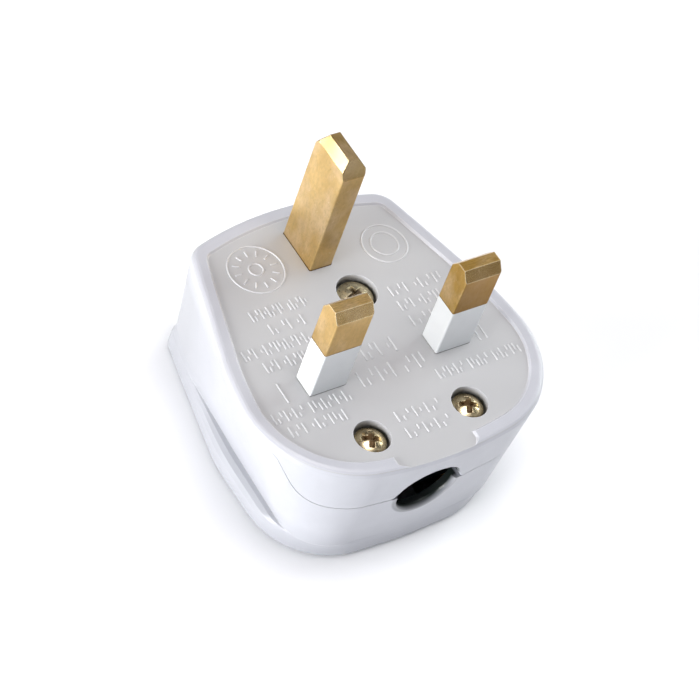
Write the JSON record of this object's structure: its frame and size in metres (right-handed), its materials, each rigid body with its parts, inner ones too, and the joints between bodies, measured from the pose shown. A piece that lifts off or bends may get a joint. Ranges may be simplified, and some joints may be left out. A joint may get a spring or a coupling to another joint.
{
  "type": "uk three pin plug",
  "caption": "Rewireable three pin mains plug with sleeved line and neutral pins, recessed pin face, cord grip screws and a waisted back cover.",
  "frame": {"origin": "under the middle of the body, on the plane of its flat back", "axes": "+Z along the pins, +Y towards the earth pin, +X towards the neutral pin"},
  "size_m": [0.0496, 0.0494, 0.0462],
  "materials": {
    "white_plastic": "satin gloss",
    "sleeve_plastic": "satin",
    "brass": "milled, lightly aged",
    "screw_brass": "bright, turned",
    "clip_sheet": "bright sheet",
    "cap_metal": "nickel plated",
    "ceramic_tube": "fired ceramic",
    "element_wire": "drawn wire",
    "grip_plastic": "matt",
    "red_fibre": "pressed fibre"
  },
  "bodies": {
    "root": {"base": "white_plastic", "cover": "white_plastic", "cover_screw": "screw_brass", "cover_screw_washer": "red_fibre", "cover_insert": "brass", "earth_pin": "brass", "earth_terminal_screw": "screw_brass", "neutral_pin": "brass", "neutral_pin_sleeve": "sleeve_plastic", "neutral_terminal_screw": "screw_brass", "line_pin": "brass", "line_pin_sleeve": "sleeve_plastic", "line_pin_clip": "clip_sheet", "line_pin_rivet": "brass", "line_terminal": "brass", "line_terminal_clip": "clip_sheet", "line_terminal_rivet": "brass", "line_terminal_screw": "screw_brass", "fuse_tube": "ceramic_tube", "fuse_cap_near": "cap_metal", "fuse_cap_far": "cap_metal", "fuse_element": "element_wire", "cord_grip_bar": "grip_plastic", "cord_grip_screw_left": "screw_brass", "cord_grip_screw_right": "screw_brass", "cord_grip_nut_left": "brass", "cord_grip_nut_right": "brass"}
  },
  "joints": []
}
